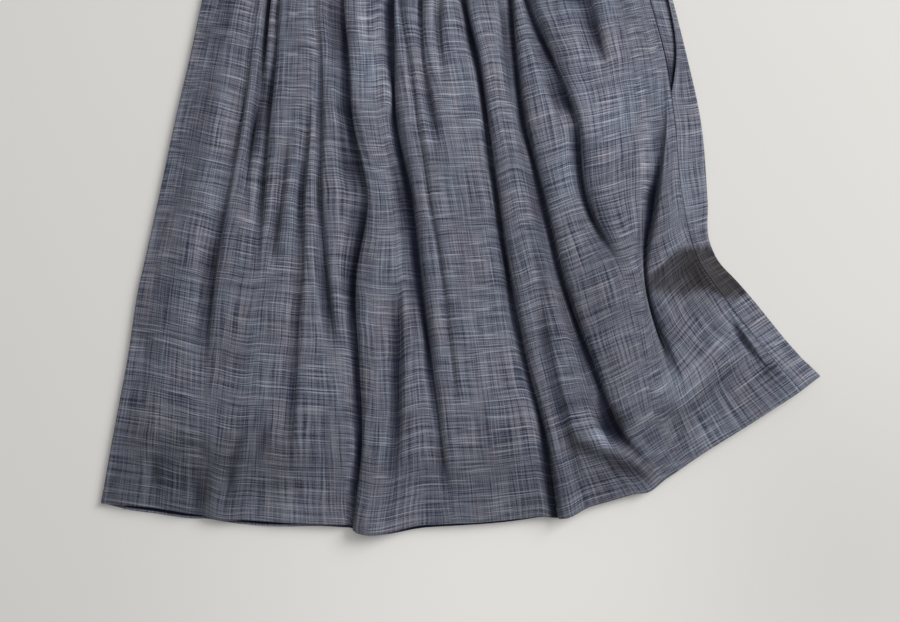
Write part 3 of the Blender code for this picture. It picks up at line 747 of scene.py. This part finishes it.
def frontPanelPiece():
    lines, shares = frontColumns()
    # round the left fold: across from it and height, from the tucked seam edge to the top
    turn = np.radians(np.arange(-75, 76, 25))
    radius, under = skirt["edgeRadius"], skirt["rolledUnder"]
    leftAcross = np.concatenate([[under + 0.1, under, under - 0.5, under - 1.6, 17, 10, radius],
                                 radius * (1 - np.cos(turn))])
    leftHeight = np.concatenate([[2.4, 1.1, 0.3, 0, 0, 0, 0], radius * (1 + np.sin(turn))])
    rightAcross = np.array([-0.7, -0.2, -0.05, -0.05])  # the right edge turns down into the seam
    rightSink = np.array([0.0, 0.3, 1.1, 2.4])
    leftCount, rightCount = len(leftAcross), len(rightAcross)
    underCount = leftCount - len(turn)
    count = leftCount + len(lines) + rightCount

    def acrossAt(drop):
        across = np.empty_like(drop)
        across[..., :leftCount] = leftFold(drop[..., :leftCount]) + leftAcross
        across[..., -rightCount:] = sideSeam(drop[..., -rightCount:]) + rightAcross
        for line in range(lastLine):
            inside = np.flatnonzero(lines == line)
            at = drop[..., leftCount + inside]
            start = lineAcross(line, at) + (radius if line == 0 else 0.0)
            end = lineAcross(line + 1, at) - (skirt["seamGap"] if line + 1 == lastLine else 0.0)
            across[..., leftCount + inside] = start + shares[inside] * (end - start)
        return across

    hemAt = columnLengths(acrossAt, count, hemDrop)
    hemAt[:underCount] += skirt["backHemShows"] * leftAcross[:underCount] / under
    drop, sinks, along = hemToWaist(hemAt, frontPanel["rows"])
    across = acrossAt(drop)
    flatAcross = across.copy()
    keep, shift, shade = creaseShape(across, drop)
    height = topHeight(across, drop, keep)

    # gathers along the waist seam: three waves across the cut, fading down the skirt
    place = acrossCut(laid(across, drop, height))
    gathers = (gatherWave(place) + 0.7 * np.sin(place / 2.3 + 0.4)
               + 0.5 * np.sin(place / 3.7 + drop / 90.0))
    gathers = frontPanel["gatherHeight"] * np.exp(-drop / skirt["gatherFade"]) * gathers
    sag = 0.35 * np.sin(drop / 21 + across / 34) * np.sin(drop / 47 - across / 55 + 1.0)
    fromHem = hemAt[None, :] - drop
    step = frontPanel["hemStep"] * ease((frontPanel["hemStepUp"] - fromHem) / 2.5)
    inside = ease(sideShare(across, drop) * 2.5) * ease((sideSeam(drop) - across) / 12.0)
    details = gathers + softRidges(frontPanel, place, drop) + sag + step
    details = (details + mounds(wrinkles, across, drop)) * inside * (0.35 + 0.65 * keep)

    panel = slice(leftCount, count - rightCount)
    height[:, panel] = np.maximum((height + details)[:, panel], skirt["creaseFloor"] - 0.6)
    height[:, -rightCount:] = height[:, -rightCount - 1:-rightCount] - rightSink
    height = height - sinks
    inwards = np.where(leftHeight < radius, 1, -1)
    height[:, :leftCount] = leftHeight + sinks[:, :leftCount] * inwards * 0.6
    across[:, panel] += (shift * inside)[:, panel]

    points = laid(across, drop, height)
    # painted shade: darker where the cloth lies low under its crown, in the creases' cores and
    # valleys, and in the navy hollows
    rise = np.clip((height - skirt["creaseFloor"]) / np.maximum(crownAt(drop), 1), 0, 1)
    rise = np.where(sideShare(across, drop) < 0.98, np.maximum(rise, 0.75), rise)
    crest = (0.45 + 0.55 * rise) * shade * (1 - mounds(paintedNavyShade, across, drop))
    crest[:, :leftCount] = 1.0
    # painted shade on the edge that turns down into the seam
    crest[:, -rightCount + 1:] = [0.8, 0.3, 0.0]
    first = leftCount + np.flatnonzero(lines == creaseLine["rightB"])[0]
    uv = frontWeave(place, first, flatAcross, across, drop, height, along, keep)
    extras = {"crest": crest, "brownAndShade": brownAndShadeAt(across, drop),
              "paintedLightAndTone": 1 + mounds(paintedLightAndTonePlaces, across, drop)}
    piece = gridPiece("frontPanel", points, uv, extras, shellCloth, skirt["cloth"])
    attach(piece, "root")
    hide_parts("front_panel")
    return piece, points


front, frontPoints = frontPanelPiece()
print("front panel made", len(front.data.polygons))


# Back panel: flat where it rests, creases pressed up into it, rolled over the right fold
backPanel = {
    "rows": 120,
    "flatColumns": 236,
    "gatherHeight": 0.5,
    "seed": 23,
    "softRidges": 90,
    "softRise": 0.35,
    "softMargins": (30, 20),
    "softLength": (40, 160),
    "onlyRaised": True,
    "clearance": 4.6,  # kept between the ridges and the top of the front
}
pocket = {"drop": 210.0, "halfLength": 100.0, "gape": 20.0, "tuck": 5.0, "depth": 2.6,
          "lowest": 1.4, "rows": 70, "columns": 24}


def pocketGape(drop):  # a parabola along the opening
    t = (drop - pocket["drop"]) / pocket["halfLength"]
    return pocket["gape"] * np.clip(1 - t * t, 0.0, None)


# a ridge runs midway between its two creases and stays narrower than the space between them
def ridgePath(ridge, drop):
    left, right = creaseAcross(ridge[0], drop), creaseAcross(ridge[1], drop)
    return (left + right) / 2, np.minimum(ridge[4], 0.45 * (right - left))


def backPanelPiece():
    radius = skirt["edgeRadius"]
    turn = np.radians(np.arange(75, -76, -25))
    # from the seam to the right fold: share of the way, offset and depth below the top
    topShare = np.array([0, 0, 0, 0, 0.05, 0.18, 0.32, 0.46, 0.6, 0.74, 0.88])
    topOffset = np.array([0.05, 0.05, 0.2, 0.7, 0, 0, 0, 0, 0, 0, 0])
    topSink = np.array([2.4, 1.1, 0.3, 0, 0, 0, 0, 0, 0, 0, 0])
    underShare = np.linspace(0, 1, backPanel["flatColumns"])
    edgeOffset = np.array([-0.4, -0.05, 0.1])
    edgeHeight = np.array([0.3, 1.1, 2.4])
    topCount, edgeCount = len(topShare), len(edgeOffset)
    flatStart = topCount + len(turn)
    flatEnd = flatStart + len(underShare)
    count = flatEnd + edgeCount

    def acrossAt(drop):
        seam = sideSeam(drop) + pocketGape(drop)
        right = rightFold(drop) - radius
        left = leftFold(drop) + skirt["rolledUnder"]
        end = left + skirt["seamGap"]
        across = np.empty_like(drop)
        top, turned = np.s_[..., :topCount], np.s_[..., topCount:flatStart]
        flat, edge = np.s_[..., flatStart:flatEnd], np.s_[..., flatEnd:]
        across[top] = seam[top] + topOffset + topShare * (right[top] - seam[top])
        across[turned] = right[turned] + radius * np.cos(turn)
        across[flat] = right[flat] + underShare * (end[flat] - right[flat])
        across[edge] = left[edge] + 0.5 - edgeOffset
        return across

    def backHem(across):
        shown = readRows(backHemRows, 1, np.clip(across, *backHemEnds))
        return hemDrop(across, scallops=0.8) + shown * ease((backHemEnds[1] - across) / 20)

    hemAt = columnLengths(acrossAt, count, backHem)
    drop, sinks, along = hemToWaist(hemAt, backPanel["rows"])
    across = acrossAt(drop)
    top = topHeight(across, drop, creaseShape(across, drop)[0])
    room = np.clip(top - backPanel["clearance"], 0, None)

    rise = np.zeros_like(across)
    for ridge in backRidges:
        middle, halfWidth = ridgePath(ridge, drop)
        ridgeHeight = ridge[2] * ease((ridge[3] - drop) / creaseForm["fade"])
        rise = np.maximum(rise, ridgeHeight * hump((across - middle) / halfWidth))
    place = acrossCut(laid(across, drop, np.minimum(rise, room)))
    gathers = 1.4 + gatherWave(place) + 0.4 * np.sin(place / 3.1)
    gathers = backPanel["gatherHeight"] * np.exp(-drop / skirt["gatherFade"]) * gathers
    height = np.minimum(rise + softRidges(backPanel, place, drop) + gathers, room)

    height[:, :topCount] = top[:, :topCount] - topSink
    height[:, topCount:flatStart] = radius * (1 + np.sin(turn))
    height[:, flatStart:flatStart + 3] *= np.array([0.0, 0.2, 0.6])
    height[:, flatEnd - 3:flatEnd] *= np.array([0.6, 0.2, 0.0])
    height[:, flatEnd:] = edgeHeight
    height = height + sinks * np.where(height < radius, 1, -1)

    points = laid(across, drop, height)
    crest = np.ones_like(height)
    # painted shade at the edge turned down into the seam, and on the rolled underside, darker the
    # higher it lifts
    crest[:, :3] = [0.0, 0.0, 0.5]
    crest[:, flatStart:] = 1 - 0.5 * np.clip(height[:, flatStart:] / 4.0, 0, 1)
    # painted shade darkens the inside of the hem under the front one, and painted light makes its
    # lip lighter where it shows
    lip = slice(hiddenRows, hiddenRows + 3)
    light = readRows(backHemRows, 2, np.clip(across[lip], *backHemEnds))
    crest[:hiddenRows] = 0.0
    crest[lip] = np.clip(light, 0.0, 1.0)
    paintedLightAndTone = np.ones_like(height)
    paintedLightAndTone[lip] = 1.8
    upper = height > radius
    beyond = np.where(upper, across, rightFold(drop))
    weft = cutAlong(across, drop, along)
    weft = weft - weftTurnAt(beyond, drop) * np.exp((across - beyond) / 120)
    uv = np.stack([np.broadcast_to(place, weft.shape), weft], axis=-1)
    extras = {"crest": crest, "brownAndShade": brownAndShadeAt(across, drop) * upper, "paintedLightAndTone": paintedLightAndTone}
    piece = gridPiece("backPanel", points, uv, extras, shellCloth, skirt["cloth"])
    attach(piece, "root")
    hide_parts("back_panel")
    return piece, points


back, backPoints = backPanelPiece()
print("back panel made", len(back.data.polygons))


# Waistband: a flattened ring gathered over elastic, with sewn channels round it
waistband = {
    "depth": 40.0,
    "height": 8.0,
    "seamGap": 0.3,  # above the panels
    "columns": 560,
    "rows": 34,
    "ribs": 88,
    "ribRise": 0.85,
    "channels": 4,
    "channelDepth": 0.5,
    "fullness": 1.25,  # cloth across the band, gathered into its ribs
    "cloth": 0.9,
}


def waistbandPiece():
    left, right = outlineRows[0][1], outlineRows[0][2]
    radius = waistband["height"] / 2
    straight, half = right - left - 2 * radius, math.pi * radius
    around = 2 * straight + 2 * half
    s = np.arange(waistband["columns"]) / waistband["columns"] * around
    # a ring of two straight runs and two half rounds, read by the distance round it
    rightTurn = np.clip((s - straight) / radius, 0, math.pi)
    leftTurn = np.clip((s - 2 * straight - half) / radius, 0, math.pi)
    underRun = np.clip(s - straight - half, 0, straight)
    outX = np.sin(rightTurn) - np.sin(leftTurn)
    outZ = np.cos(rightTurn) + 1 - np.cos(leftTurn)
    across = left + radius + np.minimum(s, straight) - underRun

    up = np.linspace(0, 1, waistband["rows"])[:, None]
    wave = 2 * math.pi * waistband["ribs"] * s / around
    ribs = 0.7 * np.sin(wave + 0.9 * np.sin(wave / 11) + 1.2 * np.sin(5 * up))
    ribs = ribs + 0.3 * np.sin(wave * 1.618 // 1 + wave / 2)
    channels = hump(((up * waistband["channels"] - 0.5) % 1.0 - 0.5) * 9)
    puff = waistband["ribRise"] * ribs * (1 - 0.6 * channels) - waistband["channelDepth"] * channels
    out = puff - hump(up / 0.06) - hump((1 - up) / 0.06)
    out = out * np.where(outZ < -0.5, 0.6, 1.0)  # flatter where it rests
    x = across + outX * (radius + out)
    y = np.broadcast_to(skirt["waistY"] + waistband["seamGap"] + waistband["depth"] * up, x.shape)
    z = np.clip(radius + outZ * (radius + out), 0.0, None)
    points = np.stack([x, y, z], axis=-1)
    uv = np.stack(np.broadcast_arrays(s * waistband["fullness"], waistband["depth"] * up), axis=-1)
    # painted shade in the hollows between the ribs
    extras = {"crest": 0.8 + 0.2 * np.clip(ribs, -1, 1), "brownAndShade": 0, "paintedLightAndTone": 1}
    piece = gridPiece("waistbandCloth", points, uv, extras, shellCloth, waistband["cloth"],
                      ring=True)
    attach(piece, "root")
    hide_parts("waistband")
    return piece


band = waistbandPiece()
print("waistband made", len(band.data.polygons))


# Pocket facing: the strip seen in the open seam, lower than the edges beside it
def pocketPiece():
    reach = pocket["halfLength"] + pocket["tuck"]
    drop = np.linspace(pocket["drop"] + reach, pocket["drop"] - reach, pocket["rows"])[:, None]
    share = np.linspace(0.0, 1.0, pocket["columns"])[None, :]
    start = sideSeam(drop) - pocket["tuck"]
    width = np.minimum(pocketGape(drop) + 2 * pocket["tuck"], rightFold(drop) - 4.0 - start)
    across = start + share * width
    drop = np.broadcast_to(drop, across.shape)
    low = pocket["depth"] + 1.6 * hump((drop - 296) / 40)
    height = topHeight(across, drop, creaseShape(across, drop)[0]) - low
    height = np.maximum(height + 0.5 * hump((share - 0.5) * 2.4), pocket["lowest"])
    points = laid(across, drop, height)
    uv = np.stack([across - across[:, :1] + 300, 400 - drop], axis=-1)
    # painted shade beside both edges of the opening and at its lower end
    lit = ease((across - sideSeam(drop) - 0.8) / 2.6)
    lit = lit * ease((sideSeam(drop) + pocketGape(drop) - across) / 3.0)
    lit = lit * (1 - 0.75 * hump((drop - 288) / 26))
    extras = {"crest": 0.95 * lit, "brownAndShade": 0, "paintedLightAndTone": 1}
    piece = gridPiece("pocketFacing", points, uv, extras, pocketCloth, skirt["cloth"])
    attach(piece, "root")
    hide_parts("pocket_right")
    return piece


facing = pocketPiece()
print("pocket facing made")


# Hem stitches: small capsules laid end to end along a row of the panel's own points
stitches = {"length": 2.6, "gap": 0.9, "radius": 0.16, "sides": 6, "upFromHem": 12.0,
            "colour": (0.10, 0.11, 0.15)}


def makeThread():
    material, tree, shader = newMaterial("hemThread")
    place = addNode(tree, "ShaderNodeTexCoord", {})
    twist = addNode(tree, "ShaderNodeTexNoise", {"Vector": place.outputs["Object"], "Scale": 900.0})
    pale = tuple(1.6 * c for c in stitches["colour"])
    colour = blendColours(tree, twist.outputs[0], stitches["colour"], pale)
    plug(tree, shader, {"Base Color": colour, "Roughness": 0.6})
    return material


hemThread = makeThread()


# stitches along a path of points, standing out towards +Z or, where facing is -1, towards -Z
def stitchRow(name, path, facing):
    step = np.linalg.norm(np.diff(path, axis=0), axis=1)
    run = np.concatenate([[0.0], np.cumsum(step)])
    pitch = stitches["length"] + stitches["gap"]
    starts = np.arange(2.0, run[-1] - pitch, pitch)
    first, last = (np.stack([np.interp(at, run, path[:, k]) for k in range(3)], axis=-1)
                   for at in (starts, starts + stitches["length"]))
    along = (last - first) / np.linalg.norm(last - first, axis=1)[:, None]
    outwards = np.array([0.0, 0.0, facing])
    out = outwards - along * (along @ outwards)[:, None]
    side = np.cross(along, out)
    # a capsule: rings along the stitch whose radius swells in the middle, closed at both ends
    share = np.array([0.0, 0.12, 0.5, 0.88, 1.0])
    swell = stitches["radius"] * np.array([0.15, 0.8, 1.0, 0.8, 0.15])
    angle = 2 * math.pi * np.arange(stitches["sides"]) / stitches["sides"]
    ring = np.cos(angle)[:, None] * side[:, None] + np.sin(angle)[:, None] * out[:, None]
    ring = ring[:, None] * swell[:, None, None]
    core = first[:, None] + share[:, None] * (last - first)[:, None]
    core = core + out[:, None] * (0.5 * stitches["radius"])
    points = (core[:, :, None] + ring).reshape(-1, 3)
    index = np.arange(len(points)).reshape(ring.shape[:3])
    turned = np.roll(index, -1, axis=2)
    quads = np.stack([index[:, :-1], turned[:, :-1], turned[:, 1:], index[:, 1:]], axis=-1)
    quads = quads.reshape(-1, 4)
    caps = np.concatenate([index[:, 0, ::-1], index[:, -1]])
    mesh = bpy.data.meshes.new(name)
    mesh.from_pydata((points * mm).tolist(), [], quads.tolist() + caps.tolist())
    mesh.shade_smooth()
    mesh.materials.append(hemThread)
    piece = addObject(name, mesh)
    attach(piece, "root")
    return piece


def rowAt(points, first, last):  # the panel's points at the stitches' height above its hem
    up, main = stitches["upFromHem"], points[len(hemTurn):, first:last]
    run = np.linalg.norm(np.diff(main, axis=0), axis=2)
    rise = np.concatenate([np.zeros((1, main.shape[1])), np.cumsum(run, axis=0)])
    row = np.clip((rise < up).sum(axis=0) - 1, 0, len(main) - 2)
    columns = np.arange(main.shape[1])
    share = ((up - rise[row, columns]) / (rise[row + 1, columns] - rise[row, columns]))[:, None]
    return main[row, columns] * (1 - share) + main[row + 1, columns] * share


frontStitches = stitchRow("frontHemStitches", rowAt(frontPoints, 14, -4), 1.0)
backStitches = stitchRow("backHemStitches", rowAt(backPoints, 20, -4), -1.0)
print("hem stitches made")


# Pale floor, an overhead softbox, a key from the right and top of the picture and a faint surround
studio = {
    "floor": (0.80, 0.778, 0.742),
    "floorLevel": -0.0006,
    "paintedFloorLight": [((0.0, -0.46), 0.42, 1.14), ((0.40, -0.40), 0.26, 0.93)],  # painted pools of light and shade on the floor: where, reach, gain
    "overhead": 14.0,
    "key": 168.0,
    "surround": 0.25,
}


def paleFloor():
    corners = [(-3, -3), (3, -3), (3, 3), (-3, 3)]
    mesh = bpy.data.meshes.new("floor")
    mesh.from_pydata([(*corner, studio["floorLevel"]) for corner in corners], [], [(0, 1, 2, 3)])
    material, tree, shader = newMaterial("paleFloor")
    place = addNode(tree, "ShaderNodeTexCoord", {}).outputs["Object"]
    grain = addNode(tree, "ShaderNodeTexNoise", {"Vector": place, "Scale": 3.0})
    low = tuple(0.985 * c for c in studio["floor"])
    colour = blendColours(tree, grain.outputs[0], low, studio["floor"])
    # painted pools of light and shade: the floor's colour is raised or lowered around each place
    for spot, reach, gain in studio["paintedFloorLight"]:
        away = addNode(tree, "ShaderNodeVectorMath", {0: place, 1: (*spot, 0.0)},
                       operation="DISTANCE")
        share = between(tree, away.outputs["Value"], reach, 0.0)
        changed = blendColours(tree, 1.0, colour, (gain, gain, gain), "MULTIPLY")
        colour = blendColours(tree, share, colour, changed)
    plug(tree, shader, {"Base Color": colour, "Roughness": 0.9, "Specular IOR Level": 0.1})
    mesh.materials.append(material)
    floor = addObject("floor", mesh)


def softLight(name, place, target, size, energy):
    light = bpy.data.lights.new(name, "AREA")
    light.shape, light.size, light.energy = "SQUARE", size, energy
    lamp = addObject(name, light)
    lamp.location = place
    lamp.rotation_euler = (Vector(target) - Vector(place)).to_track_quat("-Z", "Y").to_euler()


paleFloor()
softLight("overhead", (0.15, 0.1, 2.3), (0.0, -0.05, 0.0), 2.2, studio["overhead"])
softLight("key", (3.2, 1.9, 2.6), (0.0, -0.1, 0.0), 2.4, studio["key"])
world = bpy.data.worlds.new("surround")
bpy.context.scene.world = world
world.use_nodes = True
background = world.node_tree.nodes["Background"]
plug(world.node_tree, background, {"Color": (0.97, 0.98, 1.0), "Strength": studio["surround"]})

camera = bpy.data.cameras.new("camera")
camera.lens, camera.sensor_width = 50.0, 36.0
cameraPiece = addObject("camera", camera)
cameraPiece.location = (-0.010, -0.1685, 1.25)
bpy.context.scene.camera = cameraPiece
bpy.context.scene.view_settings.view_transform = "Standard"
print("studio made")
